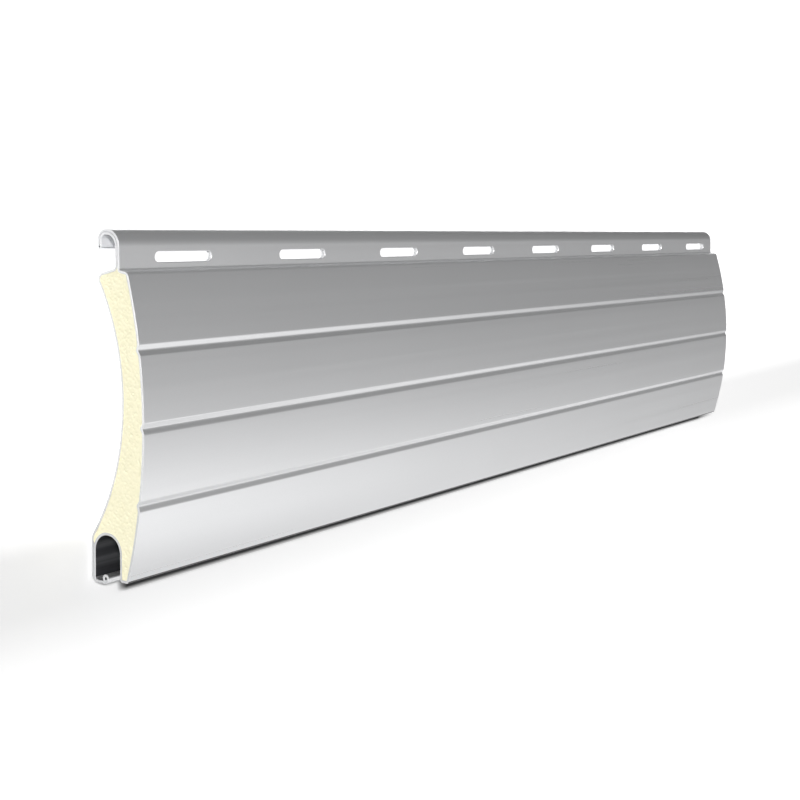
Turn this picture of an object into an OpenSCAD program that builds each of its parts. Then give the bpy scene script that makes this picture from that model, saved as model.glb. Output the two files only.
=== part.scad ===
// Roller shutter slat: a cut sample of a foam-filled slat, roll-formed from one aluminium strip.
// Millimetres. X runs along the slat. The section is drawn as the slat hangs, in (Y, Z), with the
// face that is seen from outside to -Y and the hook at the top: each line of it is a list of bends,
// and straights join the bends. The slat is then laid on its hollow side, with the face up.

/* [Slat] */
// Cut length of the sample
slat_length = 266; // [120:1:400]
// Floor to the top of the hook
slat_height = 62; // [55:0.5:75]
// Thickness of the aluminium strip
sheet = 0.45; // [0.36:0.01:0.5]
// Glue and paint held between two layers pressed together
seam = 0.1; // [0.06:0.01:0.14]

/* [Front face] */
// How far the bulge stands in front of the foot of the face
front_bulge = 4.43; // [3.4:0.01:5]
// Share of the body's height at which the bulge stands out most
crown_share = 0.511; // [0.46:0.001:0.56]
// Number of grooves along the front face
groove_count = 3; // [1:1:4]
// Floor to the foot of the lowest band of the face
face_foot = 1.15; // [0.9:0.05:1.5]
// Body top down to the head of the highest band
face_head = 0.45; // [0.3:0.05:0.8]
// Height of one groove from edge to edge
groove_width = 2.2; // [1.6:0.1:2.8]
// Flat at the bottom of a groove
groove_floor = 0.2; // [0.1:0.05:0.4]
// Depth of a groove
groove_depth = 0.42; // [0.3:0.02:0.55]

/* [Rear face] */
// Thickness of the slat over both skins, where it is least
waist = 5.4; // [4.6:0.1:6.2]
// Share of the rear face's height at which its hollow is deepest
hollow_share = 0.51; // [0.48:0.005:0.54]
// Share of the pocket's height at which the hollow's curve would meet the back
hollow_foot_share = 0.933; // [0.9:0.001:0.97]
// Bend from the hollow down into the pocket wall
rear_bend = 2.6; // [2:0.1:3]

/* [Top of the body] */
// Top edge of the front face to the front of the web
front_ledge = 1.8; // [1.6:0.01:2.4]
// Rear foot of the web down to its front foot
front_step = 0.3; // [0:0.05:0.5]
// Fall of the body top towards the front, degrees
front_fall = 9; // [5:1:14]
// Fall of the body top towards the rear, degrees
rear_fall = 13; // [6:1:18]
// Outside radius of the front top corner
front_corner = 0.9; // [0.7:0.05:1.1]
// Outside radius of the rear top corner
rear_corner = 1.2; // [0.9:0.05:1.4]
// Bend at the foot of the web
foot_bend = 0.4; // [0.3:0.05:0.5]

/* [Hook] */
// Web front to the back of the hook
hook_width = 5.4; // [5.2:0.1:5.6]
// Top of the hook to the tip of its leg
hook_drop = 3.55; // [3.1:0.05:4.3]
// Tip of the leg down to the body top
neck_gap = 3.25; // [2.6:0.05:3.7]
// Outside radius of the hook above the web
hook_front_bend = 3; // [2.6:0.05:3.2]
// Outside radius of the hook above the leg
hook_rear_bend = 1.9; // [1.6:0.05:2.1]
// Share of a leg's thickness taken by the eye left in the fold at its tip
hem_eye_share = 0.36; // [0.2:0.01:0.5]

/* [Slots] */
// Number of slots along the web
slot_count = 8; // [2:1:12]
// Cut end at low X to the first slot
slot_first_gap = 8.5; // [2:0.1:16]
// Last slot to the cut end at high X
slot_last_gap = 6.4; // [2:0.1:16]
// Share of the slots' spacing taken by a slot
slot_share = 0.425; // [0.3:0.001:0.6]
// Share of the neck's gap taken by a slot's height
slot_height_share = 0.58; // [0.45:0.005:0.65]
// Tip of the leg down to the top of the slots
slot_clear = 0.45; // [0.35:0.025:0.55]

/* [Pocket] */
// Width of the pocket between its walls
pocket_width = 6.2; // [6:0.05:6.9]
// Floor to the ceiling of the pocket
pocket_ceiling = 8.6; // [7.8:0.1:9.4]
// Share of the pocket's width taken by a corner of its ceiling
ceiling_bend_share = 0.478; // [0.42:0.001:0.495]
// Width of the foot, level with the floor, from the line of the face to the pocket
foot_width = 1.67; // [1.5:0.01:2.2]
// Floor to the underside of the foot, which stands higher than the lip
foot_rise = 0.85; // [0.5:0.05:1.2]
// Share of the foot's width taken by each of its bends
fold_share = 0.32; // [0.3:0.01:0.4]
// Inside bend from the pocket wall to the lip
lip_bend = 0.4; // [0.3:0.05:0.6]
// Share of the pocket's width that the lip reaches across
lip_share = 0.42; // [0.38:0.001:0.45]
// Bead across, against the doubled strip
bead_share = 1.5; // [1.3:0.01:1.6]
// Share of the bead taken by its eye
bead_eye_share = 0.37; // [0.25:0.01:0.5]
// Rise of the bead over the tip of the lip, degrees
bead_rise = 75; // [65:1:85]
// Share of the doubled strip that the bead runs into the tip of the lip
bead_lap_share = 0.25; // [0.2:0.01:0.3]

/* [Hidden] */

// Drawing detail
bend_step = 12;
arc_share = 0.013;
round_fn = 48;
quarter = 90;

// Layers pressed together: the web, the hook and the pocket's rear wall
double = 2 * sheet + seam;
bead_radius = bead_share * double / 2;
bead_lap = bead_lap_share * double;
bead_eye = bead_eye_share * bead_radius;
hem_eye = hem_eye_share * double / 2;
pocket_bend = ceiling_bend_share * pocket_width;
fold_bend = fold_share * foot_width;

// Heights of the section
z_tip = slat_height - hook_drop;
z_body = z_tip - neck_gap;
slot_width = slot_height_share * neck_gap;
z_slot = z_tip - slot_clear - slot_width / 2;
front_crown = crown_share * z_body;
z_hollow_foot = hollow_foot_share * pocket_ceiling;
rear_hollow = z_hollow_foot + hollow_share * (z_body - z_hollow_foot);
band_pitch = (z_body - face_head - face_foot) / (groove_count + 1);

// Depths of the section, with the slat's depth halved by the origin
function curve_radius(half_run, rise) = (half_run * half_run + rise * rise) / (2 * rise);
function curve_fall(radius, half_run) = radius - sqrt(radius * radius - half_run * half_run);
slat_depth = front_bulge + foot_width + pocket_width + double;
y_front = -slat_depth / 2;
y_back = slat_depth / 2;
front_radius = curve_radius(front_crown, front_bulge);
rear_radius = curve_radius(rear_hollow - z_hollow_foot, slat_depth - waist);
y_web = y_front + curve_fall(front_radius, z_body - front_crown) + front_ledge;
y_web_back = y_web + double;
y_hook = y_web + hook_width;
y_pocket_back = y_back - double;
y_pocket_front = y_pocket_back - pocket_width;
y_lip = y_pocket_back - lip_share * pocket_width;

// Middles of the two long curves, and the run of one of their straight steps
front_middle = [y_front + front_radius, front_crown];
rear_middle = [y_front + waist + rear_radius, rear_hollow];
long_step = arc_share * front_radius;

// Lengths along the slat
slot_pitch = (slat_length - slot_first_gap - slot_last_gap) / (slot_count - 1 + slot_share);
slot_length = slot_share * slot_pitch;
x_first_slot = (slot_length - slat_length) / 2 + slot_first_gap;

// Plane vector helpers
function angle_of(v) = atan2(v[1], v[0]);
function around(p, r, a) = p + r * [cos(a), sin(a)];
function root(dot, gap) = sqrt(dot * dot - gap);

// One bend: [middle, outer face's radius, first angle, last angle, side]
// side is 1 where the strip's inner face has the smaller radius, and -1 where it has the larger one
function bend(middle, r, first, last, side) = [middle, r, first, last, side];
function bend_points(b, inset) =
    let (
        turn = b[3] - b[2],
        run = abs(turn) * PI / 180 * b[1],
        steps = max(2, ceil(abs(turn) / bend_step), ceil(run / long_step))
    )
    [for (i = [0 : steps]) around(b[0], b[1] - b[4] * inset, b[2] + turn * i / steps)];

// Front top corner, tangent to the body top and to the front curve
front_top_way = [-cos(front_fall), -sin(front_fall)];
front_top_in = [sin(front_fall), -cos(front_fall)];
front_top_from = [y_web, z_body - front_step] + front_corner * front_top_in - front_middle;
front_top_dot = front_top_from * front_top_way;
front_top_run = -front_top_dot + root(front_top_dot,
    front_top_from * front_top_from - pow(front_radius - front_corner, 2));
front_top_middle = front_middle + front_top_from + front_top_run * front_top_way;
front_top_angle = angle_of(front_top_middle - front_middle);

// Rear top corner, tangent to the hollow rear curve and to the body top
rear_top_way = [-cos(rear_fall), sin(rear_fall)];
rear_top_in = [-sin(rear_fall), -cos(rear_fall)];
rear_top_from = [y_web_back, z_body] + rear_corner * rear_top_in - rear_middle;
rear_top_dot = rear_top_from * rear_top_way;
rear_top_run = rear_top_dot - root(rear_top_dot,
    rear_top_from * rear_top_from - pow(rear_radius + rear_corner, 2));
rear_top_middle = rear_middle + rear_top_from - rear_top_run * rear_top_way;
rear_top_angle = angle_of(rear_middle - rear_top_middle);

// Foot of the front face, tangent to the front curve and level underneath
z_fold = foot_rise + fold_bend;
fold_out = front_radius - fold_bend;
fold_middle = [front_middle[0] - sqrt(fold_out * fold_out - pow(front_crown - z_fold, 2)), z_fold];
fold_angle = angle_of(fold_middle - front_middle) + 4 * quarter;

// Bend from the hollow rear curve into the upright pocket wall
rear_out = rear_radius + rear_bend;
rear_bend_y = y_back - rear_bend;
rear_bend_middle = [
    rear_bend_y, rear_hollow - sqrt(rear_out * rear_out - pow(rear_middle[0] - rear_bend_y, 2))
];
rear_bend_angle = angle_of(rear_middle - rear_bend_middle);

// Feet of the web, where its two layers part over the body top
foot_front_middle = [
    y_web - foot_bend,
    z_body - front_step - foot_bend * tan(front_fall) + foot_bend / cos(front_fall)
];
foot_rear_middle = [
    y_web_back + foot_bend, z_body - foot_bend * tan(rear_fall) + foot_bend / cos(rear_fall)
];

// The bends, named in the order in which the outline meets them
b_fold_front = bend(fold_middle, fold_bend, fold_angle, 3 * quarter, 1);
b_fold_rear = bend(
    [y_pocket_front - fold_bend, z_fold], fold_bend, 3 * quarter, 4 * quarter, 1);
b_ceiling_front = bend(
    [y_pocket_front + pocket_bend, pocket_ceiling - pocket_bend],
    pocket_bend, 2 * quarter, quarter, -1);
b_ceiling_rear = bend(
    [y_pocket_back - pocket_bend, pocket_ceiling - pocket_bend], pocket_bend, quarter, 0, -1);
b_lip_inside = bend([y_pocket_back - lip_bend, sheet + lip_bend], lip_bend, 0, -quarter, -1);
b_lip_tip = bend([y_lip + sheet / 2, sheet / 2], sheet / 2, quarter, 3 * quarter, 1);
b_lip_outside = bend(
    [y_pocket_back - lip_bend, double + lip_bend],
    double + lip_bend, 3 * quarter, 4 * quarter, 1);
b_rear_low = bend(rear_bend_middle, rear_bend, 0, rear_bend_angle, 1);
b_rear = bend(
    rear_middle, rear_radius, 2 * quarter + rear_bend_angle, 2 * quarter + rear_top_angle, -1);
b_rear_top = bend(rear_top_middle, rear_corner, rear_top_angle, quarter - rear_fall, 1);
b_foot_rear = bend(foot_rear_middle, foot_bend, 3 * quarter - rear_fall, 2 * quarter, -1);
b_hook_inside_front = bend(
    [y_web + hook_front_bend, slat_height - hook_front_bend],
    hook_front_bend - double, 2 * quarter, quarter, -1);
b_hook_inside_rear = bend(
    [y_hook - hook_rear_bend, slat_height - hook_rear_bend],
    hook_rear_bend - double, quarter, 0, -1);
b_hook_tip = bend(
    [y_hook - double / 2, z_tip + double / 2], double / 2, 2 * quarter, 4 * quarter, 1);
b_hook_rear = bend(
    [y_hook - hook_rear_bend, slat_height - hook_rear_bend], hook_rear_bend, 0, quarter, 1);
b_hook_front = bend(
    [y_web + hook_front_bend, slat_height - hook_front_bend],
    hook_front_bend, quarter, 2 * quarter, 1);
b_foot_front = bend(foot_front_middle, foot_bend, 0, front_fall - quarter, -1);
b_front_top = bend(front_top_middle, front_corner, quarter + front_fall, front_top_angle, 1);

// The bead runs into the tip of the lip
bead_middle = around(b_lip_tip[0], sheet / 2 + bead_radius - bead_lap, 2 * quarter - bead_rise);

// The front curve, from the top corner to the foot, with its grooves: [angle, depth] pairs
groove_heights = [for (i = [groove_count : -1 : 1]) face_foot + i * band_pitch];
function front_angle(z) = 2 * quarter - asin((z - front_crown) / front_radius);
function groove_marks(z) = [
    [front_angle(z + groove_width / 2), 0],
    [front_angle(z + groove_floor / 2), groove_depth],
    [front_angle(z - groove_floor / 2), groove_depth],
    [front_angle(z - groove_width / 2), 0]
];
function plain_marks(first, last) =
    let (steps = max(2, ceil((last - first) * PI / 180 * front_radius / long_step)))
    [for (i = [1 : steps - 1]) [first + (last - first) * i / steps, 0]];
plain_ends = concat(
    [front_top_angle],
    [for (z = groove_heights) each [front_angle(z + groove_width / 2), front_angle(z - groove_width / 2)]],
    [fold_angle]);
front_marks = [for (i = [0 : groove_count]) each concat(
    plain_marks(plain_ends[2 * i], plain_ends[2 * i + 1]),
    i < groove_count ? groove_marks(groove_heights[i]) : [])];
function front_points(inset) =
    [for (m = front_marks) around(front_middle, front_radius - inset - m[1], m[0])];

// Outline of the metal against the air, and of the metal against the foam
air_side = [b_fold_front, b_fold_rear, b_ceiling_front, b_ceiling_rear, b_lip_inside, b_lip_tip,
    b_lip_outside, b_rear_low, b_rear, b_rear_top, b_foot_rear, b_hook_inside_front,
    b_hook_inside_rear, b_hook_tip, b_hook_rear, b_hook_front, b_foot_front, b_front_top];
foam_tip_angle = 20;
b_foam_tip = bend(b_ceiling_rear[0], pocket_bend, quarter, foam_tip_angle, -1);
foam_side = [b_fold_front, b_fold_rear, b_ceiling_front, b_foam_tip, b_rear_low, b_rear,
    b_rear_top, b_foot_rear, b_foot_front, b_front_top];

function outline(bends, inset) =
    concat(front_points(inset), [for (b = bends) each bend_points(b, inset)]);

// How the slat lies: the floor touches the bend over the pocket and the back of the hook
rest_span = b_hook_rear[0] - b_rear_low[0];
rest_angle = angle_of(rest_span) - acos((rear_bend - hook_rear_bend) / norm(rest_span));
floor_way = [cos(rest_angle), sin(rest_angle)];
hook_way = [-sin(rest_angle), cos(rest_angle)];
function reach(b, way) = b[0] * way + b[1];
rest_up = reach(b_rear_low, floor_way);
rest_along = (reach(b_lip_outside, -hook_way) - reach(b_hook_front, hook_way)) / 2;

module lay_down() {
    translate([0, rest_along, rest_up])
        rotate([-quarter - rest_angle, 0, 0])
            children();
}

// Turns a drawing in (Y, Z) into a length of profile
module run_of_profile(length) {
    rotate([quarter, 0, quarter])
        linear_extrude(height = length, center = true)
            children();
}

// The rolled bead that closes the lip
module bead() {
    translate(bead_middle) circle(r = bead_radius, $fn = round_fn);
}

module eyes() {
    translate(bead_middle) circle(r = bead_eye, $fn = round_fn);
    translate(b_hook_tip[0]) circle(r = hem_eye, $fn = round_fn);
}

module skin_section() {
    difference() {
        union() {
            polygon(outline(air_side, 0));
            bead();
        }
        polygon(outline(foam_side, sheet));
        eyes();
    }
}

// One slot through the web, round at both ends
module slot() {
    half = (slot_length - slot_width) / 2;
    rotate([quarter, 0, 0])
        linear_extrude(height = 2 * double, center = true)
            union() {
                square([2 * half, slot_width], center = true);
                translate([-half, 0]) circle(d = slot_width, $fn = round_fn);
                translate([half, 0]) circle(d = slot_width, $fn = round_fn);
            }
}

module slots() {
    for (i = [0 : slot_count - 1])
        translate([x_first_slot + i * slot_pitch, y_web + double / 2, z_slot])
            slot();
}

// The one aluminium strip: front face, fold, pocket, lip, rear face, web and hook
module rolled_skin() {
    color([0.75, 0.76, 0.78])
        lay_down()
            difference() {
                run_of_profile(slat_length) skin_section();
                slots();
            }
}

// The foam that fills the body and meets the strip face to face
module foam_core() {
    color([0.98, 0.96, 0.84])
        lay_down()
            run_of_profile(slat_length) polygon(outline(foam_side, sheet));
}

rolled_skin();
foam_core();
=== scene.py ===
"""Looks of the roller shutter slat: the rolled strip, its foam filling and the studio around them."""

import sys

import logging
import math
import random
from dataclasses import dataclass, field
from enum import Enum, IntEnum
from functools import cached_property

import bpy
import numpy as np
from mathutils import Euler, Matrix, Vector, noise
from mathutils.geometry import delaunay_2d_cdt


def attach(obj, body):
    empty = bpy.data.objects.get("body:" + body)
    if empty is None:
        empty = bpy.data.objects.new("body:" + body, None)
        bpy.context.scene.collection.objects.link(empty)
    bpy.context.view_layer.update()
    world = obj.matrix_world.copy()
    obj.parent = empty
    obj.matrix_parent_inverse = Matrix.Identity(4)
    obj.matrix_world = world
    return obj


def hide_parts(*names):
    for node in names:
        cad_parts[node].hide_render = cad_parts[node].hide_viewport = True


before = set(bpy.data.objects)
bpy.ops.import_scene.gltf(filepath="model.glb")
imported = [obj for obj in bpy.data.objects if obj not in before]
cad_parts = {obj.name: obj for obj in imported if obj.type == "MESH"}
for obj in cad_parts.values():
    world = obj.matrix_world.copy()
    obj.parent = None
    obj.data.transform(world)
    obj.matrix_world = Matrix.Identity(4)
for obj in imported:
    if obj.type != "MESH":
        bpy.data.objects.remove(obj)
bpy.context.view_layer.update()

LOG = logging.getLogger("slat")
MM = 0.001
QUARTER = 90.0
SAME = 1e-4
NEAR = 1e-3
TINY = 1e-9
MERGED = 1e-6

Point = tuple[float, float]
Colour = tuple[float, float, float]


def polar(middle: Point, radius: float, degrees: float) -> Point:
    """Point at a distance and an angle from a middle."""
    turn = math.radians(degrees)
    return middle[0] + radius * math.cos(turn), middle[1] + radius * math.sin(turn)


def angle_of(start: Point, end: Point) -> float:
    """Angle, in degrees, of the way from one point to another."""
    return math.degrees(math.atan2(end[1] - start[1], end[0] - start[0]))


class Region(Enum):
    """What a patch of the cut end is made of."""

    AIR = 0
    STRIP = 1
    GLUE = 2
    FOAM = 3


class Finish(IntEnum):
    """Number of each material on the strip."""

    COAT = 0
    SAWN = 1
    GLUE = 2
    # Near-black painted shade in the pocket and on the fold at the face's foot, standing in for shade.
    PAINTED_SHADE = 3
    # Bare punched aluminium of the slot walls, painted near-white: painted light on those walls.
    PUNCHED_PAINTED_LIGHT = 4
    # Less metallic, matt copy of the coat inside the hook, so its shaded hollow reads lighter: painted light.
    HOOK_PAINTED_LIGHT = 5


@dataclass(frozen=True)
class Bend:
    """One bend of the strip, seen in the section.

    side is 1 where the strip's inner face has the smaller radius, and -1 where it has the larger one.
    """

    middle: Point
    radius: float
    first: float
    last: float
    side: int

    def points(self, inset: float, turn_step: float, run_step: float) -> list[Point]:
        """Points along the bend.

        Args:
            inset: how far inside the outer face they lie.
            turn_step: largest turn between two points, in degrees.
            run_step: largest run between two points.

        Returns:
            The points, from the first angle to the last.
        """
        turn = self.last - self.first
        run = math.radians(abs(turn)) * self.radius
        steps = max(2, math.ceil(abs(turn) / turn_step), math.ceil(run / run_step))
        radius = self.radius - self.side * inset
        return [polar(self.middle, radius, self.first + turn * i / steps) for i in range(steps + 1)]


@dataclass(frozen=True)
class SlatSizes:
    """Sizes of the slat in millimetres, and degrees for its falls: those of the solids."""

    length: float = 266.0
    height: float = 62.0
    sheet: float = 0.45
    seam: float = 0.1
    front_bulge: float = 4.43
    crown_share: float = 0.511
    groove_count: int = 3
    face_foot: float = 1.15
    face_head: float = 0.45
    groove_width: float = 2.2
    groove_floor: float = 0.2
    groove_depth: float = 0.42
    waist: float = 5.4
    hollow_share: float = 0.51
    hollow_foot_share: float = 0.933
    rear_bend: float = 2.6
    front_ledge: float = 1.8
    front_step: float = 0.3
    front_fall: float = 9.0
    rear_fall: float = 13.0
    front_corner: float = 0.9
    rear_corner: float = 1.2
    foot_bend: float = 0.4
    hook_width: float = 5.4
    hook_drop: float = 3.55
    neck_gap: float = 3.25
    hook_front_bend: float = 3.0
    hook_rear_bend: float = 1.9
    hem_eye_share: float = 0.36
    slot_count: int = 8
    slot_first_gap: float = 8.5
    slot_last_gap: float = 6.4
    slot_share: float = 0.425
    slot_height_share: float = 0.58
    slot_clear: float = 0.45
    pocket_width: float = 6.2
    pocket_ceiling: float = 8.6
    ceiling_bend_share: float = 0.478
    foot_width: float = 1.67
    foot_rise: float = 0.85
    fold_share: float = 0.32
    lip_bend: float = 0.4
    lip_share: float = 0.42
    bead_share: float = 1.5
    bead_eye_share: float = 0.37
    bead_rise: float = 75.0
    bead_lap_share: float = 0.25
    foam_tip_angle: float = 20.0


@dataclass(frozen=True)
class SlatSection:
    """The slat's section in (Y, Z), worked out from its sizes in the same way as the solids' section."""

    sizes: SlatSizes = SlatSizes()
    turn_step: float = 6.0
    run_step: float = 0.7
    groove_steps: int = 22
    groove_shoulder: float = 0.16
    circle_steps: int = 40

    @property
    def double(self) -> float:
        """Thickness of two layers and the seam between them."""
        return 2 * self.sizes.sheet + self.sizes.seam

    @property
    def z_tip(self) -> float:
        """Height of the tip of the hook's leg."""
        return self.sizes.height - self.sizes.hook_drop

    @property
    def z_body(self) -> float:
        """Height of the body under the hook."""
        return self.z_tip - self.sizes.neck_gap

    @property
    def crown(self) -> float:
        """Height at which the front face stands out most."""
        return self.sizes.crown_share * self.z_body

    @property
    def depth(self) -> float:
        """Depth of the slat from the bulge to the pocket's rear wall."""
        s = self.sizes
        return s.front_bulge + s.foot_width + s.pocket_width + self.double

    @cached_property
    def front_radius(self) -> float:
        """Radius of the bulging face."""
        bulge = self.sizes.front_bulge
        return (self.crown**2 + bulge**2) / (2 * bulge)

    @cached_property
    def front_middle(self) -> Point:
        """Middle of the bulging face's curve."""
        return self.front_radius - self.depth / 2, self.crown

    @cached_property
    def y_web(self) -> float:
        """Front of the web."""
        over = self.z_body - self.crown
        fall = self.front_radius - math.sqrt(self.front_radius**2 - over**2)
        return fall - self.depth / 2 + self.sizes.front_ledge

    @property
    def slot_height(self) -> float:
        """Height of a slot."""
        return self.sizes.slot_height_share * self.sizes.neck_gap

    @property
    def z_slot(self) -> float:
        """Height of the slots' middles."""
        return self.z_tip - self.sizes.slot_clear - self.slot_height / 2

    @property
    def slot_pitch(self) -> float:
        """Spacing of the slots."""
        s = self.sizes
        return (s.length - s.slot_first_gap - s.slot_last_gap) / (s.slot_count - 1 + s.slot_share)

    @property
    def slot_length(self) -> float:
        """Length of a slot."""
        return self.sizes.slot_share * self.slot_pitch

    def x_slot(self, number: int) -> float:
        """Middle of a slot, counted from low X."""
        s = self.sizes
        return (self.slot_length - s.length) / 2 + s.slot_first_gap + number * self.slot_pitch

    @property
    def bead_radius(self) -> float:
        """Radius of the rolled bead."""
        return self.sizes.bead_share * self.double / 2

    @cached_property
    def bead_middle(self) -> Point:
        """Middle of the rolled bead."""
        s, tip = self.sizes, self.bends["lip_tip"]
        reach = tip.radius + self.bead_radius - s.bead_lap_share * self.double
        return polar(tip.middle, reach, 2 * QUARTER - s.bead_rise)

    @cached_property
    def bends(self) -> dict[str, Bend]:
        """Every bend of the strip by name."""
        return {**self._pocket_bends(), **self._rear_bends(), **self._hook_bends(), **self._front_bends()}

    def _pocket_bends(self) -> dict[str, Bend]:
        """Bends of the pocket and the lip."""
        s, double = self.sizes, self.double
        back = self.depth / 2 - double
        front = back - s.pocket_width
        corner = s.ceiling_bend_share * s.pocket_width
        z_corner = s.pocket_ceiling - corner
        fold = s.fold_share * s.foot_width
        half, lip_y, z_outside = s.sheet / 2, back - s.lip_bend, double + s.lip_bend
        rear_ceiling = (back - corner, z_corner)
        tip = s.foam_tip_angle
        return {
            "fold_rear": Bend((front - fold, s.foot_rise + fold), fold, 3 * QUARTER, 4 * QUARTER, 1),
            "ceiling_front": Bend((front + corner, z_corner), corner, 2 * QUARTER, QUARTER, -1),
            "foam_tip": Bend(rear_ceiling, corner, QUARTER, tip, -1),
            "ceiling_rest": Bend(rear_ceiling, corner, tip, 0.0, -1),
            "lip_inside": Bend((lip_y, s.sheet + s.lip_bend), s.lip_bend, 0.0, -QUARTER, -1),
            "lip_tip": Bend(
                (back - s.lip_share * s.pocket_width + half, half), half, QUARTER, 3 * QUARTER, 1
            ),
            "lip_outside": Bend((lip_y, z_outside), z_outside, 3 * QUARTER, 4 * QUARTER, 1),
            "wall_foot": Bend((back + double / 2, z_outside), double / 2, 2 * QUARTER, 4 * QUARTER, 1),
        }

    def _rear_bends(self) -> dict[str, Bend]:
        """Bends of the hollow rear face, each tangent to its neighbours."""
        s = self.sizes
        z_foot = s.hollow_foot_share * s.pocket_ceiling
        z_hollow = z_foot + s.hollow_share * (self.z_body - z_foot)
        run, rise = z_hollow - z_foot, self.depth - s.waist
        radius = (run**2 + rise**2) / (2 * rise)
        middle = (s.waist + radius - self.depth / 2, z_hollow)
        y_low = self.depth / 2 - s.rear_bend
        low = (y_low, z_hollow - math.sqrt((radius + s.rear_bend) ** 2 - (middle[0] - y_low) ** 2))
        low_angle = angle_of(low, middle)
        top = self._corner_on_curve(middle, radius + s.rear_corner, s.rear_corner, s.rear_fall, 1)
        top_angle = angle_of(top, middle)
        return {
            "rear_low": Bend(low, s.rear_bend, 0.0, low_angle, 1),
            "rear": Bend(middle, radius, 2 * QUARTER + low_angle, 2 * QUARTER + top_angle, -1),
            "rear_top": Bend(top, s.rear_corner, top_angle, QUARTER - s.rear_fall, 1),
        }

    def _corner_on_curve(self, middle: Point, reach: float, radius: float, fall: float, way: int) -> Point:
        """Middle of a corner that touches the body top and a long curve.

        Args:
            middle: middle of the long curve.
            reach: distance of the corner's middle from it.
            radius: radius of the corner.
            fall: fall of the body top, in degrees.
            way: 1 towards the rear, and -1 towards the front.

        Returns:
            The corner's middle.
        """
        turn = math.radians(fall)
        along = (way * math.cos(turn), -math.sin(turn))
        inward = (-way * math.sin(turn), -math.cos(turn))
        start_y = self.y_web + (self.double if way > 0 else 0.0)
        start_z = self.z_body - (0.0 if way > 0 else self.sizes.front_step)
        start = (start_y + radius * inward[0] - middle[0], start_z + radius * inward[1] - middle[1])
        dot = start[0] * along[0] + start[1] * along[1]
        gap = start[0] ** 2 + start[1] ** 2 - reach**2
        run = -dot - way * math.sqrt(dot * dot - gap)
        return middle[0] + start[0] + run * along[0], middle[1] + start[1] + run * along[1]

    def _hook_bends(self) -> dict[str, Bend]:
        """Bends of the hook and of the web's foot."""
        s, double = self.sizes, self.double
        y_hook = self.y_web + s.hook_width
        over_web = (self.y_web + s.hook_front_bend, s.height - s.hook_front_bend)
        over_leg = (y_hook - s.hook_rear_bend, s.height - s.hook_rear_bend)
        half = double / 2

        def foot(y: float, z: float, fall: float) -> Point:
            """Middle of the bend at the web's foot."""
            turn = math.radians(fall)
            return y, z + s.foot_bend / math.cos(turn) - s.foot_bend * math.tan(turn)

        return {
            "foot_rear": Bend(
                foot(self.y_web + double + s.foot_bend, self.z_body, s.rear_fall),
                s.foot_bend, 3 * QUARTER - s.rear_fall, 2 * QUARTER, -1,
            ),
            "hook_inside_front": Bend(over_web, s.hook_front_bend - double, 2 * QUARTER, QUARTER, -1),
            "hook_inside_rear": Bend(over_leg, s.hook_rear_bend - double, QUARTER, 0.0, -1),
            "hook_tip": Bend((y_hook - half, self.z_tip + half), half, 2 * QUARTER, 4 * QUARTER, 1),
            "hook_rear": Bend(over_leg, s.hook_rear_bend, 0.0, QUARTER, 1),
            "hook_front": Bend(over_web, s.hook_front_bend, QUARTER, 2 * QUARTER, 1),
            "foot_front": Bend(
                foot(self.y_web - s.foot_bend, self.z_body - s.front_step, s.front_fall),
                s.foot_bend, 0.0, s.front_fall - QUARTER, -1,
            ),
        }

    def _front_bends(self) -> dict[str, Bend]:
        """Bends at the top and at the foot of the bulging face."""
        s, middle, radius = self.sizes, self.front_middle, self.front_radius
        fold = s.fold_share * s.foot_width
        reach, z_fold = radius - fold, s.foot_rise + fold
        low = (middle[0] - math.sqrt(reach**2 - (self.crown - z_fold) ** 2), z_fold)
        low_angle = angle_of(middle, low) + 4 * QUARTER
        top = self._corner_on_curve(middle, radius - s.front_corner, s.front_corner, s.front_fall, -1)
        return {
            "front_top": Bend(top, s.front_corner, QUARTER + s.front_fall, angle_of(middle, top), 1),
            "fold_front": Bend(low, fold, low_angle, 3 * QUARTER, 1),
        }

    def groove_depth_at(self, offset: float) -> float:
        """Depth of a groove with softened shoulders.

        Args:
            offset: distance from the groove's middle.

        Returns:
            The depth, the mean of the plain shape over the shoulder's width.
        """
        s = self.sizes
        half, floor = s.groove_width / 2 - self.groove_shoulder, s.groove_floor / 2
        samples = 9
        total = 0.0
        for i in range(samples):
            at = abs(offset + self.groove_shoulder * (2 * i / (samples - 1) - 1))
            total += min(1.0, max(0.0, (half - at) / (half - floor)))
        return s.groove_depth * total / samples

    def front_points(self, inset: float) -> list[Point]:
        """Points down the bulging face, with its grooves.

        Args:
            inset: how far inside the outer face they lie.

        Returns:
            The points, without the two ends, which the corner bends give.
        """
        s, radius = self.sizes, self.front_radius
        pitch = (self.z_body - s.face_head - s.face_foot) / (s.groove_count + 1)
        heights = [s.face_foot + i * pitch for i in range(s.groove_count, 0, -1)]
        middles = [2 * QUARTER - math.degrees(math.asin((z - self.crown) / radius)) for z in heights]
        first, last = self.bends["front_top"].last, self.bends["fold_front"].first
        half = math.degrees(s.groove_width / 2 / radius)
        marks: list[tuple[float, float]] = []
        edges = [first] + [edge for m in middles for edge in (m - half, m + half)] + [last]
        for k in range(s.groove_count + 1):
            start, end = edges[2 * k], edges[2 * k + 1]
            steps = max(2, math.ceil(math.radians(end - start) * radius / self.run_step))
            marks += [(start + (end - start) * i / steps, 0.0) for i in range(1, steps)]
            if k < s.groove_count:
                for i in range(self.groove_steps + 1):
                    share = 2 * i / self.groove_steps - 1
                    depth = self.groove_depth_at(share * s.groove_width / 2)
                    marks.append((middles[k] + share * half, depth))
        return [polar(self.front_middle, radius - inset - depth, angle) for angle, depth in marks]

    def loop(self, names: list[str], inset: float) -> list[Point]:
        """Closed outline through the face and the named bends.

        Args:
            names: the bends, in the order in which the outline meets them.
            inset: how far inside the strip's outer face it runs.

        Returns:
            The outline's points, anticlockwise.
        """
        points = self.front_points(inset)
        for name in names:
            points += self.bends[name].points(inset, self.turn_step, self.run_step)
        return points

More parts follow.
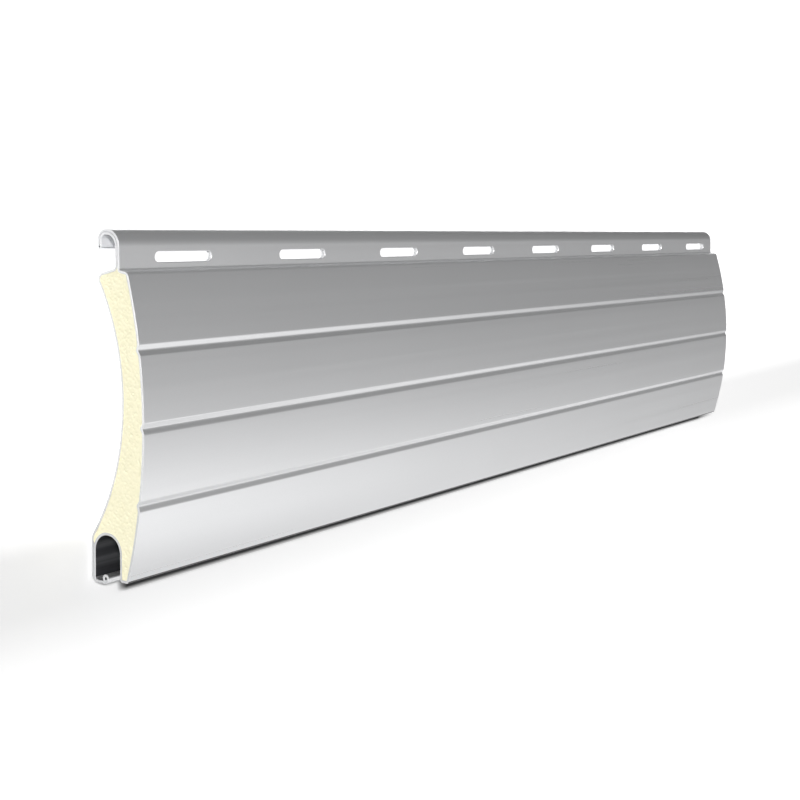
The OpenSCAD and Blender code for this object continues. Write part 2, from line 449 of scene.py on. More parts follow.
    @property
    def air_names(self) -> list[str]:
        """Bends that the metal's outline against the air meets."""
        return [
            "fold_front", "fold_rear", "ceiling_front", "foam_tip", "ceiling_rest", "lip_inside",
            "lip_tip", "lip_outside", "rear_low", "rear", "rear_top", "foot_rear",
            "hook_inside_front", "hook_inside_rear", "hook_tip", "hook_rear", "hook_front",
            "foot_front", "front_top",
        ]  # fmt: skip

    @property
    def layer_names(self) -> list[str]:
        """Bends that the line between the strip and what it encloses meets."""
        lip = ("lip_tip", "lip_outside")
        return ["wall_foot" if name == "lip_inside" else name for name in self.air_names if name not in lip]

    @property
    def foam_names(self) -> list[str]:
        """Bends that the foam's outline meets."""
        return [
            "fold_front", "fold_rear", "ceiling_front", "foam_tip", "rear_low", "rear",
            "rear_top", "foot_rear", "foot_front", "front_top",
        ]  # fmt: skip

    @staticmethod
    def _reach(bend: Bend, way: Point) -> float:
        """How far a bend reaches in a direction."""
        return bend.middle[0] * way[0] + bend.middle[1] * way[1] + bend.radius

    @cached_property
    def laid_down(self) -> Matrix:
        """Move, in metres, of the slat as it hangs onto its hollow side, face up.

        Returns:
            The matrix that rests the bend over the pocket and the back of the hook on the floor.
        """
        low, hook = self.bends["rear_low"], self.bends["hook_rear"]
        span = math.dist(low.middle, hook.middle)
        lean = math.radians(angle_of(low.middle, hook.middle)) - math.acos((low.radius - hook.radius) / span)
        floor_way = (math.cos(lean), math.sin(lean))
        hook_way, foot_way = (-floor_way[1], floor_way[0]), (floor_way[1], -floor_way[0])
        up = self._reach(low, floor_way)
        past_foot = self._reach(self.bends["lip_outside"], foot_way)
        past_hook = self._reach(self.bends["hook_front"], hook_way)
        place = Matrix.Translation((0.0, (past_foot - past_hook) / 2 * MM, up * MM))
        return place @ Matrix.Rotation(-math.radians(QUARTER) - lean, 4, "X")

    def circle(self, middle: Point, radius: float) -> list[Point]:
        """Points round a circle, anticlockwise."""
        return [polar(middle, radius, 4 * QUARTER * i / self.circle_steps) for i in range(self.circle_steps)]


def inside(loop: list[Point], points: np.ndarray) -> np.ndarray:
    """Tells which points lie inside a closed loop.

    Args:
        loop: the loop's corners.
        points: the points, one a row.

    Returns:
        One truth value a point.
    """
    a = np.array(loop)
    b = np.roll(a, -1, axis=0)
    y, z = points[:, 0][:, None], points[:, 1][:, None]
    crosses = (a[:, 1] > z) != (b[:, 1] > z)
    rise = np.where(b[:, 1] == a[:, 1], 1.0, b[:, 1] - a[:, 1])
    at = a[:, 0] + (z - a[:, 1]) / rise * (b[:, 0] - a[:, 0])
    return (np.sum(crosses & (y < at), axis=1) % 2).astype(bool)


@dataclass
class MeshDraft:
    """Vertices and faces of a piece, in millimetres, while it is being built."""

    digits: int = 5
    vertices: list[tuple[float, float, float]] = field(default_factory=list)
    faces: list[tuple[int, ...]] = field(default_factory=list)
    finishes: list[int] = field(default_factory=list)
    known: dict[tuple[float, float, float], int] = field(default_factory=dict)

    def vertex(self, x: float, y: float, z: float) -> int:
        """Number of the vertex at a place, which is made if it isn't there yet."""
        key = (round(x, self.digits), round(y, self.digits), round(z, self.digits))
        if key not in self.known:
            self.known[key] = len(self.vertices)
            self.vertices.append((x, y, z))
        return self.known[key]

    def face(self, corners: list[int], finish: int = 0) -> None:
        """Adds a face, unless its corners fall together.

        Args:
            corners: its vertices in order, anticlockwise from outside.
            finish: number of its material on the piece.
        """
        kept = [c for i, c in enumerate(corners) if c != corners[i - 1]]
        if len(set(kept)) > 2:
            self.faces.append(tuple(kept))
            self.finishes.append(finish)

    def strip(self, low: float, high: float, a: Point, b: Point, finish: int = 0) -> None:
        """Adds a face along X between two points of the section, seen from their right."""
        corners = [self.vertex(low, *a), self.vertex(high, *a), self.vertex(high, *b), self.vertex(low, *b)]
        self.face(corners[::-1], finish)

    def build(
        self, name: str, materials: list[bpy.types.Material], sharp: float, pose: Matrix | None = None
    ) -> bpy.types.Object:
        """Makes the object.

        Args:
            name: the piece's name.
            materials: its materials, in the order of their numbers.
            sharp: angle, in degrees, from which an edge is drawn sharp.
            pose: move from the way it is drawn to the way it lies.

        Returns:
            The object, in metres, linked to the scene.
        """
        mesh = bpy.data.meshes.new(name)
        mesh.from_pydata([tuple(c * MM for c in v) for v in self.vertices], [], self.faces)
        if pose is not None:
            mesh.transform(pose)
        for material in materials:
            mesh.materials.append(material)
        mesh.polygons.foreach_set("material_index", self.finishes)
        mesh.polygons.foreach_set("use_smooth", [True] * len(self.faces))
        mesh.set_sharp_from_angle(angle=math.radians(sharp))
        mesh.update()
        piece = bpy.data.objects.new(name, mesh)
        bpy.context.scene.collection.objects.link(piece)
        return piece


class NodeWriter:
    """Short ways to add and join the nodes of one shader tree."""

    def __init__(self, tree: bpy.types.NodeTree) -> None:
        """Keeps the tree that is written."""
        self.tree = tree

    def add(self, kind: str, values: dict[str | int, object] | None = None, **settings: object) -> bpy.types.Node:
        """Adds a node.

        Args:
            kind: the node's type name.
            values: input names or numbers, each with a value or with the output that feeds it.
            settings: properties of the node itself.

        Returns:
            The node.
        """
        node = self.tree.nodes.new(kind)
        for name, value in settings.items():
            setattr(node, name, value)
        for name, value in (values or {}).items():
            if isinstance(value, bpy.types.NodeSocket):
                self.tree.links.new(value, node.inputs[name])
            else:
                node.inputs[name].default_value = value
        return node

    def math(
        self, operation: str, first: object, second: object = 0.0, clamp: bool = False
    ) -> bpy.types.NodeSocket:
        """Result of one sum on numbers or sockets."""
        node = self.add("ShaderNodeMath", {0: first, 1: second}, operation=operation, use_clamp=clamp)
        return node.outputs[0]

    def ramp(
        self, value: bpy.types.NodeSocket, low: float, high: float, start: float, end: float
    ) -> bpy.types.NodeSocket:
        """Value carried from one span of numbers to another, held at both ends."""
        span = {"Value": value, "From Min": low, "From Max": high, "To Min": start, "To Max": end}
        return self.add("ShaderNodeMapRange", span).outputs["Result"]

    def weighed(
        self, first: bpy.types.NodeSocket, weight: float, second: bpy.types.NodeSocket, other: float
    ) -> bpy.types.NodeSocket:
        """Sum of two values, each times its weight."""
        return self.math("ADD", self.math("MULTIPLY", first, weight), self.math("MULTIPLY", second, other))

    def grain(
        self, effects: dict[str, bpy.types.NodeTree], size: float, clouds: float, contrast: float
    ) -> bpy.types.Node:
        """Adds the shared grain effect."""
        node = self.add("ShaderNodeGroup", node_tree=effects["grain"])
        set_inputs(node, {"Grain Size": size, "Cloud Size": clouds, "Contrast": contrast})
        return node

    def streaks(
        self,
        effects: dict[str, bpy.types.NodeTree],
        lines: tuple[float, float, float],
        unevenness: float,
        low: float,
        high: float,
    ) -> bpy.types.Node:
        """Adds the shared effect of lines along one way."""
        node = self.add("ShaderNodeGroup", node_tree=effects["streaks"])
        set_inputs(node, {"Lines per Metre": lines, "Unevenness": unevenness, "Low": low, "High": high})
        return node

    def bump(self, height: bpy.types.NodeSocket, depth: float, strength: float) -> bpy.types.NodeSocket:
        """Normal of a surface with small heights."""
        node = self.add("ShaderNodeBump", {"Height": height, "Distance": depth, "Strength": strength})
        return node.outputs["Normal"]

    def glow(self, level: object) -> None:
        """Ends a material as plain white light of a given level."""
        light = self.add("ShaderNodeEmission", {"Color": (1.0, 1.0, 1.0, 1.0), "Strength": level})
        self.add("ShaderNodeOutputMaterial", {"Surface": light.outputs[0]})

    def tint(self, share: object, first: Colour, second: Colour) -> bpy.types.NodeSocket:
        """Mix of two opaque colours."""
        return self.mix(share, (*first, 1.0), (*second, 1.0))

    def mix(self, share: object, first: object, second: object) -> bpy.types.NodeSocket:
        """Mix of two colours."""
        node = self.add("ShaderNodeMix", data_type="RGBA")
        for number, value in ((0, share), (6, first), (7, second)):
            if isinstance(value, bpy.types.NodeSocket):
                self.tree.links.new(value, node.inputs[number])
            else:
                node.inputs[number].default_value = value
        return node.outputs[2]


class SharedEffects:
    """Shader groups that more than one material of the slat uses."""

    @staticmethod
    def _group(name: str, inputs: list[tuple[str, str, object]], outputs: list[tuple[str, str]]) -> tuple[
        bpy.types.NodeTree, NodeWriter, bpy.types.Node, bpy.types.Node
    ]:
        """New shader group with named sockets.

        Args:
            name: the group's name.
            inputs: name, socket type and default of each input.
            outputs: name and socket type of each output.

        Returns:
            The tree, its writer, the input node and the output node.
        """
        tree = bpy.data.node_groups.new(name, "ShaderNodeTree")
        for label, kind, default in inputs:
            socket = tree.interface.new_socket(name=label, in_out="INPUT", socket_type=kind)
            socket.default_value = default
        for label, kind in outputs:
            tree.interface.new_socket(name=label, in_out="OUTPUT", socket_type=kind)
        writer = NodeWriter(tree)
        return tree, writer, writer.add("NodeGroupInput"), writer.add("NodeGroupOutput")

    @classmethod
    def streaks(cls) -> bpy.types.NodeTree:
        """Fine lines along one direction, as rolls, saws and punches leave them.

        Returns:
            The group, with a mask and a height.
        """
        tree, writer, given, out = cls._group(
            "tool_streaks",
            [
                ("Lines per Metre", "NodeSocketVector", (1.0, 1.0, 1.0)),
                ("Unevenness", "NodeSocketFloat", 0.5),
                ("Low", "NodeSocketFloat", 0.35),
                ("High", "NodeSocketFloat", 0.65),
            ],
            [("Mask", "NodeSocketFloat"), ("Height", "NodeSocketFloat")],
        )
        place = writer.add("ShaderNodeTexCoord").outputs["Object"]
        scaled = writer.add(
            "ShaderNodeVectorMath", {0: place, 1: given.outputs["Lines per Metre"]}, operation="MULTIPLY"
        ).outputs[0]
        lines = writer.add(
            "ShaderNodeTexNoise",
            {"Vector": scaled, "Scale": 1.0, "Detail": 4.0, "Roughness": given.outputs["Unevenness"]},
        ).outputs["Fac"]
        mask = writer.add(
            "ShaderNodeMapRange",
            {"Value": lines, "From Min": given.outputs["Low"], "From Max": given.outputs["High"]},
        ).outputs["Result"]
        writer.tree.links.new(mask, out.inputs["Mask"])
        writer.tree.links.new(lines, out.inputs["Height"])
        return tree

    @classmethod
    def grain(cls) -> bpy.types.NodeTree:
        """Fine grain with slow clouds under it, for paint flakes, bare metal and foam.

        Returns:
            The group, with a mask for the grain, one for the clouds, and a height.
        """
        tree, writer, given, out = cls._group(
            "fine_grain",
            [
                ("Grain Size", "NodeSocketFloat", 0.0002),
                ("Cloud Size", "NodeSocketFloat", 0.02),
                ("Contrast", "NodeSocketFloat", 0.5),
            ],
            [("Grain", "NodeSocketFloat"), ("Clouds", "NodeSocketFloat"), ("Height", "NodeSocketFloat")],
        )
        place = writer.add("ShaderNodeTexCoord").outputs["Object"]
        fine = writer.math("DIVIDE", 1.0, given.outputs["Grain Size"])
        slow = writer.math("DIVIDE", 1.0, given.outputs["Cloud Size"])
        cells = writer.add("ShaderNodeTexVoronoi", {"Vector": place, "Scale": fine})
        tone = writer.add("ShaderNodeSeparateColor", {"Color": cells.outputs["Color"]}).outputs["Red"]
        centred = writer.math("SUBTRACT", tone, 0.5)
        grain = writer.math("ADD", writer.math("MULTIPLY", centred, given.outputs["Contrast"]), 0.5, True)
        clouds = writer.add("ShaderNodeTexNoise", {"Vector": place, "Scale": slow, "Detail": 3.0}).outputs["Fac"]
        writer.tree.links.new(grain, out.inputs["Grain"])
        writer.tree.links.new(clouds, out.inputs["Clouds"])
        writer.tree.links.new(cells.outputs["Distance"], out.inputs["Height"])
        return tree


@dataclass(frozen=True)
class SilverCoat:
    """Baked silver-grey coating on the outside of the strip."""

    name: str = "silver_coat"
    pale: Colour = (0.83, 0.835, 0.845)
    deep: Colour = (0.77, 0.775, 0.785)
    metallic: float = 0.92
    smoothest: float = 0.27
    roughest: float = 0.34
    flake_size: float = 0.00016
    cloud_size: float = 0.030
    clouding: float = 0.6
    flake_contrast: float = 0.5
    streak: tuple[float, float, float] = (0.6, 0.3, 0.7)
    relief: tuple[float, float] = (0.0002, 0.6)
    gloss: float = 0.08
    gloss_rough: float = 0.25
    lines: tuple[float, float, float] = (3.0, 900.0, 900.0)
    line_bump: float = 0.05
    flake_bump: float = 0.02

    def material(self, effects: dict[str, bpy.types.NodeTree]) -> bpy.types.Material:
        """Makes the material.

        Args:
            effects: the shared shader groups by name.

        Returns:
            The material.
        """
        material, writer, shader = new_material(self.name)
        grain = writer.grain(effects, self.flake_size, self.cloud_size, self.flake_contrast)
        lines = writer.streaks(effects, self.lines, *self.streak)
        blend = writer.weighed(grain.outputs["Grain"], 1.0 - self.clouding, grain.outputs["Clouds"], self.clouding)
        colour = writer.tint(blend, self.deep, self.pale)
        rough = writer.ramp(lines.outputs["Mask"], 0.0, 1.0, self.smoothest, self.roughest)
        height = writer.weighed(lines.outputs["Height"], self.line_bump, grain.outputs["Height"], self.flake_bump)
        normal = writer.bump(height, *self.relief)
        set_inputs(shader, {"Metallic": self.metallic, "Coat Weight": self.gloss, "Coat Roughness": self.gloss_rough})
        link_inputs(writer, shader, {"Base Color": colour, "Roughness": rough, "Normal": normal})
        return material


@dataclass(frozen=True)
class SawnMetal:
    """Bare aluminium where the strip was sawn or punched."""

    name: str = "sawn_metal"
    bright: Colour = (0.66, 0.665, 0.67)
    dull: Colour = (0.57, 0.575, 0.585)
    metallic: float = 0.55
    lines: tuple[float, float, float] = (900.0, 5200.0, 260.0)
    streak: tuple[float, float, float] = (0.65, 0.3, 0.7)
    grain: tuple[float, float, float] = (0.0001, 0.002, 0.6)
    clouding: float = 0.4
    cloud_range: tuple[float, float] = (0.2, 0.8)
    roughness: tuple[float, float] = (0.42, 0.6)
    relief: tuple[float, float] = (0.00003, 0.5)

    def material(self, effects: dict[str, bpy.types.NodeTree]) -> bpy.types.Material:
        """Makes the material.

        Args:
            effects: the shared shader groups by name.

        Returns:
            The material.
        """
        material, writer, shader = new_material(self.name)
        lines = writer.streaks(effects, self.lines, *self.streak)
        grain = writer.grain(effects, *self.grain)
        blend = writer.weighed(lines.outputs["Mask"], 1.0 - self.clouding, grain.outputs["Clouds"], self.clouding)
        colour = writer.tint(blend, self.dull, self.bright)
        rough = writer.ramp(grain.outputs["Clouds"], *self.cloud_range, *self.roughness)
        normal = writer.bump(lines.outputs["Height"], *self.relief)
        set_inputs(shader, {"Metallic": self.metallic})
        link_inputs(writer, shader, {"Base Color": colour, "Roughness": rough, "Normal": normal})
        return material


@dataclass(frozen=True)
class SeamGlue:
    """Glue and paint between two layers, a little below the sawn edge."""

    light: Colour = (0.52, 0.52, 0.53)
    dark: Colour = (0.30, 0.30, 0.32)
    grain: tuple[float, float, float] = (0.00012, 0.0015, 0.8)
    roughness: tuple[float, float] = (0.6, 0.85)

    def material(self, effects: dict[str, bpy.types.NodeTree]) -> bpy.types.Material:
        """Makes the material.

        Args:
            effects: the shared shader groups by name.

        Returns:
            The material.
        """
        material, writer, shader = new_material("seam_glue")
        grain = writer.grain(effects, *self.grain)
        colour = writer.tint(grain.outputs["Clouds"], self.dark, self.light)
        rough = writer.ramp(grain.outputs["Grain"], 0.0, 1.0, *self.roughness)
        link_inputs(writer, shader, {"Base Color": colour, "Roughness": rough})
        return material


@dataclass(frozen=True)
class PocketPaintedShade:
    """Painted shade: near-black colour on the inside of the pocket and on the fold at the face's foot, standing in
    for the shade there, with lighter streaks along the slat.
    """

    dark: Colour = (0.030, 0.031, 0.034)
    streaked_shade: Colour = (0.075, 0.077, 0.082)
    lines: tuple[float, float, float] = (4.0, 1400.0, 1400.0)
    streak: tuple[float, float, float] = (0.6, 0.45, 0.75)
    roughness: tuple[float, float] = (0.3, 0.45)
    metallic: float = 0.2

    def material(self, effects: dict[str, bpy.types.NodeTree]) -> bpy.types.Material:
        """Makes the material.

        Args:
            effects: the shared shader groups by name.

        Returns:
            The material.
        """
        material, writer, shader = new_material("pocket_fold_painted_shade")
        lines = writer.streaks(effects, self.lines, *self.streak)
        # Near-black painted shade, with lighter streaks along the slat.
        colour = writer.tint(lines.outputs["Mask"], self.dark, self.streaked_shade)
        rough = writer.ramp(lines.outputs["Mask"], 0.0, 1.0, *self.roughness)
        set_inputs(shader, {"Metallic": self.metallic})
        link_inputs(writer, shader, {"Base Color": colour, "Roughness": rough})
        return material


@dataclass(frozen=True)
class CutFoam:
    """Rigid polyurethane foam, cream where it is freshly cut."""

    pale: Colour = (0.965, 0.925, 0.695)
    deep: Colour = (0.935, 0.89, 0.63)
    grain: tuple[float, float, float] = (0.00042, 0.004, 0.7)
    clouding: float = 0.55
    cloud_range: tuple[float, float] = (0.2, 0.8)
    roughness: tuple[float, float] = (0.85, 0.97)
    relief: tuple[float, float] = (0.0001, 0.25)

    def material(self, effects: dict[str, bpy.types.NodeTree]) -> bpy.types.Material:
        """Makes the material.

        Args:
            effects: the shared shader groups by name.

        Returns:
            The material.
        """
        material, writer, shader = new_material("cut_foam")
        grain = writer.grain(effects, *self.grain)
        blend = writer.weighed(grain.outputs["Grain"], 1.0 - self.clouding, grain.outputs["Clouds"], self.clouding)
        colour = writer.tint(blend, self.deep, self.pale)
        rough = writer.ramp(grain.outputs["Clouds"], *self.cloud_range, *self.roughness)
        normal = writer.bump(grain.outputs["Height"], *self.relief)
        link_inputs(writer, shader, {"Base Color": colour, "Roughness": rough, "Normal": normal})
        return material


def blank_material(name: str) -> tuple[bpy.types.Material, NodeWriter]:
    """Material with no nodes, and a writer for them."""
    material = bpy.data.materials.new(name)
    material.use_nodes = True
    material.node_tree.nodes.clear()
    return material, NodeWriter(material.node_tree)


def new_material(name: str) -> tuple[bpy.types.Material, NodeWriter, bpy.types.Node]:
    """Starts a node material.

    Args:
        name: its name.

    Returns:
        The material, a writer for its nodes, and its Principled BSDF.
    """
    material, writer = blank_material(name)
    shader = writer.add("ShaderNodeBsdfPrincipled")
    writer.add("ShaderNodeOutputMaterial", {"Surface": shader.outputs["BSDF"]})
    return material, writer, shader


def set_inputs(node: bpy.types.Node, values: dict[str, object]) -> None:
    """Sets constants on a node's own sockets."""
    for name, value in values.items():
        node.inputs[name].default_value = value


def link_inputs(writer: NodeWriter, node: bpy.types.Node, outputs: dict[str, bpy.types.NodeSocket]) -> None:
    """Feeds a node's sockets from other nodes."""
    for name, output in outputs.items():
        writer.tree.links.new(output, node.inputs[name])


@dataclass
class RolledSkin:
    """The one aluminium strip: face, fold, pocket, lip, rear face, web and hook."""

    section: SlatSection
    edge_bevel: float = 0.03
    glue_recess: float = 0.06
    slot_arc_steps: int = 20
    rolled_edge: tuple[Point, ...] = ((0.0, 0.12), (0.018, 0.07), (0.052, 0.03), (0.12, 0.0))
    burred_edge: tuple[Point, ...] = ((0.06, 0.0), (0.018, 0.02), (0.0, 0.06))
    rim_flat: float = 0.05
    runs: int = 14
    sharp: float = 28.0

    def build(self, materials: list[bpy.types.Material]) -> bpy.types.Object:
        """Builds the strip from its section, with its slots and its sawn ends.

        Args:
            materials: one for each Finish, in its order.

        Returns:
            The finished piece, which stands for the strip's solid.
        """
        draft = MeshDraft()
        points, triangles, regions = self._arrangement()
        rim = self._rim(triangles, regions)
        shifted = self._bevelled(points, rim)
        for end in (-1, 1):
            self._cap(draft, shifted, triangles, regions, end)
        self._sweep(draft, points, shifted, rim)
        self._foam_side(draft, points, triangles, regions)
        self._slotted_faces(draft, points, rim)
        piece = draft.build("rolled_skin_strip", materials, self.sharp, self.section.laid_down)
        weighting = piece.modifiers.new("even_flats", "WEIGHTED_NORMAL")
        weighting.mode = "FACE_AREA"
        weighting.keep_sharp = True
        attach(piece, "root")
        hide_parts("rolled_skin")
        return piece

    @property
    def rim_front(self) -> float:
        """How far the rolled edge of a slot reaches over the web's front."""
        return self.rolled_edge[0][1]

    @property
    def rim_rear(self) -> float:
        """How far the burr of a slot reaches over the web's rear."""
        return self.burred_edge[-1][1]

    @property
    def _stations(self) -> list[float]:
        """Places along the slat at which its long faces are divided."""
        near = self.section.sizes.length / 2 - self.edge_bevel
        return [near * (2 * i / self.runs - 1) for i in range(self.runs + 1)]

    def _arrangement(self) -> tuple[np.ndarray, list[list[int]], list[Region]]:
        """Cuts the plane of the section into triangles and says what each is made of.

        Returns:
            The points, the triangles and their regions.
        """
        section, s = self.section, self.section.sizes
        air = section.loop(section.air_names, 0.0)
        layer = section.loop(section.layer_names, s.sheet)
        foam = section.loop(section.foam_names, s.sheet)
        bead = section.circle(section.bead_middle, section.bead_radius)
        eye = section.circle(section.bead_middle, s.bead_eye_share * section.bead_radius)
        hem = section.circle(section.bends["hook_tip"].middle, s.hem_eye_share * section.double / 2)
        corners: list[Vector] = []
        edges: list[tuple[int, int]] = []
        for loop in (air, layer, foam, bead, eye, hem):
            start = len(corners)
            corners += [Vector(p) for p in loop]
            edges += [(start + i, start + (i + 1) % len(loop)) for i in range(len(loop))]
        found = delaunay_2d_cdt(corners, edges, [], 0, MERGED)
        points = np.array([tuple(p) for p in found[0]])
        triangles = [list(t) for t in found[2]]
        middles = np.array([points[t].mean(axis=0) for t in triangles])
        in_eye = inside(eye, middles) | inside(hem, middles)
        in_metal = inside(air, middles) | inside(bead, middles)
        in_bead, in_layer, in_foam = inside(bead, middles), inside(layer, middles), inside(foam, middles)
        regions = []
        for i in range(len(triangles)):
            if in_eye[i] or not in_metal[i]:
                regions.append(Region.AIR)
            elif in_foam[i]:
                regions.append(Region.FOAM)
            elif in_layer[i] and not in_bead[i]:
                regions.append(Region.GLUE)
            else:
                regions.append(Region.STRIP)
        return points, triangles, regions

    @staticmethod
    def _edges_between(
        triangles: list[list[int]], regions: list[Region], inner: set[Region], outer: set[Region]
    ) -> list[tuple[int, int]]:
        """Edges where one kind of region meets another.

        Args:
            triangles: the triangles, anticlockwise.
            regions: their regions.
            inner: the regions on the edges' left.
            outer: the regions on their right.

        Returns:
            The edges, each as the inner triangle has it.
        """
        owner: dict[tuple[int, int], Region] = {}
        for triangle, region in zip(triangles, regions):
            for i in range(3):
                owner[(triangle[i], triangle[(i + 1) % 3])] = region
        return [
            edge
            for edge, region in owner.items()
            if region in inner and owner.get((edge[1], edge[0]), Region.AIR) in outer
        ]

    def _rim(self, triangles: list[list[int]], regions: list[Region]) -> list[tuple[int, int]]:
        """Edges of the metal against the air."""
        return self._edges_between(triangles, regions, {Region.STRIP, Region.GLUE}, {Region.AIR})

    def _bevelled(self, points: np.ndarray, rim: list[tuple[int, int]]) -> np.ndarray:
        """Points of the sawn face, drawn in a little from the air.

        Args:
            points: the section's points.
            rim: its edges against the air.

        Returns:
            The moved points.
        """
        moves = np.zeros_like(points)
        counts = np.zeros(len(points))
        for a, b in rim:
            way = points[b] - points[a]
            length = np.linalg.norm(way)
            if length < TINY:
                continue
            normal = np.array([-way[1], way[0]]) / length
            for corner in (a, b):
                moves[corner] += normal
                counts[corner] += 1
        shifted = points.copy()
        for i in np.nonzero(counts)[0]:
            length = np.linalg.norm(moves[i])
            if length > TINY:
                shifted[i] += self.edge_bevel * moves[i] / length
        return shifted

    def _cap(
        self,
        draft: MeshDraft,
        shifted: np.ndarray,
        triangles: list[list[int]],
        regions: list[Region],
        end: int,
    ) -> None:
        """Adds one sawn end.

        Args:
            draft: the mesh.
            shifted: the section's points, drawn in from the air.
            triangles: the section's triangles.
            regions: their regions.
            end: -1 for the end at low X, and 1 for the other.
        """
        x_end = end * self.section.sizes.length / 2
        x_glue = end * (self.section.sizes.length / 2 - self.glue_recess)
        for triangle, region in zip(triangles, regions):
            if region not in (Region.STRIP, Region.GLUE):
                continue
            x = x_end if region is Region.STRIP else x_glue
            corners = [draft.vertex(x, *shifted[i]) for i in triangle]
            if end < 0:
                corners.reverse()
            draft.face(corners, Finish.SAWN if region is Region.STRIP else Finish.GLUE)
        for a, b in self._edges_between(triangles, regions, {Region.STRIP}, {Region.GLUE}):
            corners = [
                draft.vertex(x_end, *shifted[a]),
                draft.vertex(x_glue, *shifted[a]),
                draft.vertex(x_glue, *shifted[b]),
                draft.vertex(x_end, *shifted[b]),
            ]
            if end < 0:
                corners.reverse()
            draft.face(corners, Finish.GLUE)

    def _is_web_face(self, points: np.ndarray, a: int, b: int) -> bool:
        """Tells whether an edge of the section is one of the web's two flat faces."""
        faces = (self.section.y_web, self.section.y_web + self.section.double)
        level = any(abs(points[a][0] - y) < SAME and abs(points[b][0] - y) < SAME for y in faces)
        return level and abs(points[a][1] - points[b][1]) > self.section.slot_height

    def _is_painted_shade_face(self, points: np.ndarray, a: int, b: int) -> bool:
        """Tells whether an edge of the section gets the painted shade: the fold at the foot, or the pocket's walls
        and ceiling.

        Args:
            points: the section's points.
            a: the edge's first point.
            b: its second point.

        Returns:
            Whether the near-black painted shade covers it.
        """
        corner, rest = self.section.bends["ceiling_front"], self.section.bends["ceiling_rest"]
        front, back = corner.middle[0] - corner.radius, rest.middle[0] + rest.radius
        near = NEAR
        (y_a, z_a), (y_b, z_b) = points[a], points[b]
        # The fold at the face's foot is painted dark too, standing in for the shadow under the front edge.
        fold = self.section.bends["fold_front"]
        if max(y_a, y_b) < front + near and max(z_a, z_b) < polar(fold.middle, fold.radius, fold.first)[1] + near:
            return True
        if min(y_a, y_b) < front - near or max(y_a, y_b) > back + near:
            return False
        on_wall = abs(y_a - y_b) < near and min(abs(y_a - front), abs(y_a - back)) < near
        on_ceiling = min(z_a, z_b) > corner.middle[1] - near
        return max(z_a, z_b) < self.section.sizes.pocket_ceiling + near and (on_wall or on_ceiling)

    def _is_hook_inside(self, points: np.ndarray, a: int, b: int) -> bool:
        """Tells whether an edge of the section is on the inside of the hook."""
        section = self.section
        top = section.sizes.height - section.double
        back = section.y_web + section.sizes.hook_width - section.double
        near = NEAR
        (y_a, z_a), (y_b, z_b) = points[a], points[b]
        in_width = min(y_a, y_b) > section.y_web + section.double - near and max(y_a, y_b) < back + near
        return in_width and min(z_a, z_b) > section.z_tip - near and max(z_a, z_b) < top + near

    def _sweep(
        self, draft: MeshDraft, points: np.ndarray, shifted: np.ndarray, rim: list[tuple[int, int]]
    ) -> None:
        """Adds the strip's faces against the air, all along the slat, apart from the slotted ones.

        Args:
            draft: the mesh.
            points: the section's points.
            shifted: the same points on the sawn faces.
            rim: the edges against the air.
        """
        half = self.section.sizes.length / 2
        near = half - self.edge_bevel
        for a, b in rim:
            for x_out, x_in in ((-half, -near), (half, near)):
                corners = [
                    draft.vertex(x_out, *shifted[a]),
                    draft.vertex(x_out, *shifted[b]),
                    draft.vertex(x_in, *points[b]),
                    draft.vertex(x_in, *points[a]),
                ]
                draft.face(corners if x_out < 0 else corners[::-1], Finish.SAWN)
            if self._is_web_face(points, a, b):
                continue
            # Inside the hook: a less metallic, matt copy of the coat, painted light in the shaded hollow.
            finish = Finish.HOOK_PAINTED_LIGHT if self._is_hook_inside(points, a, b) else Finish.COAT
            # The pocket and the fold at the foot get the near-black painted shade instead of the silver coat.
            if self._is_painted_shade_face(points, a, b):
                finish = Finish.PAINTED_SHADE
            for x_a, x_b in zip(self._stations, self._stations[1:]):
                draft.strip(x_a, x_b, points[a], points[b], finish)

    def _foam_side(
        self, draft: MeshDraft, points: np.ndarray, triangles: list[list[int]], regions: list[Region]
    ) -> None:
        """Adds the strip's faces against the foam.

        Args:
            draft: the mesh.
            points: the section's points.
            triangles: its triangles.
            regions: their regions.
        """
        half = self.section.sizes.length / 2
        for metal, recess, finish in (
            (Region.STRIP, 0.0, Finish.SAWN), (Region.GLUE, self.glue_recess, Finish.GLUE)
        ):
            reach = half - recess
            for a, b in self._edges_between(triangles, regions, {metal}, {Region.FOAM}):
                draft.strip(-reach, reach, points[a], points[b], finish)

    def _slot_ring(self, number: int, grow: float) -> list[Point]:
        """Outline of one slot in (X, Z).

        Args:
            number: the slot's number from low X.
            grow: how far outside the punched outline it runs.

        Returns:
            The outline's points, anticlockwise as seen from the front.
        """
        section = self.section
        middle = section.x_slot(number)
        reach = (section.slot_length - section.slot_height) / 2
        radius = section.slot_height / 2 + grow
        ring = []
        for side, first in ((1, -QUARTER), (-1, QUARTER)):
            for i in range(self.slot_arc_steps + 1):
                angle = first + 2 * QUARTER * i / self.slot_arc_steps
                ring.append(polar((middle + side * reach, section.z_slot), radius, angle))
        return ring

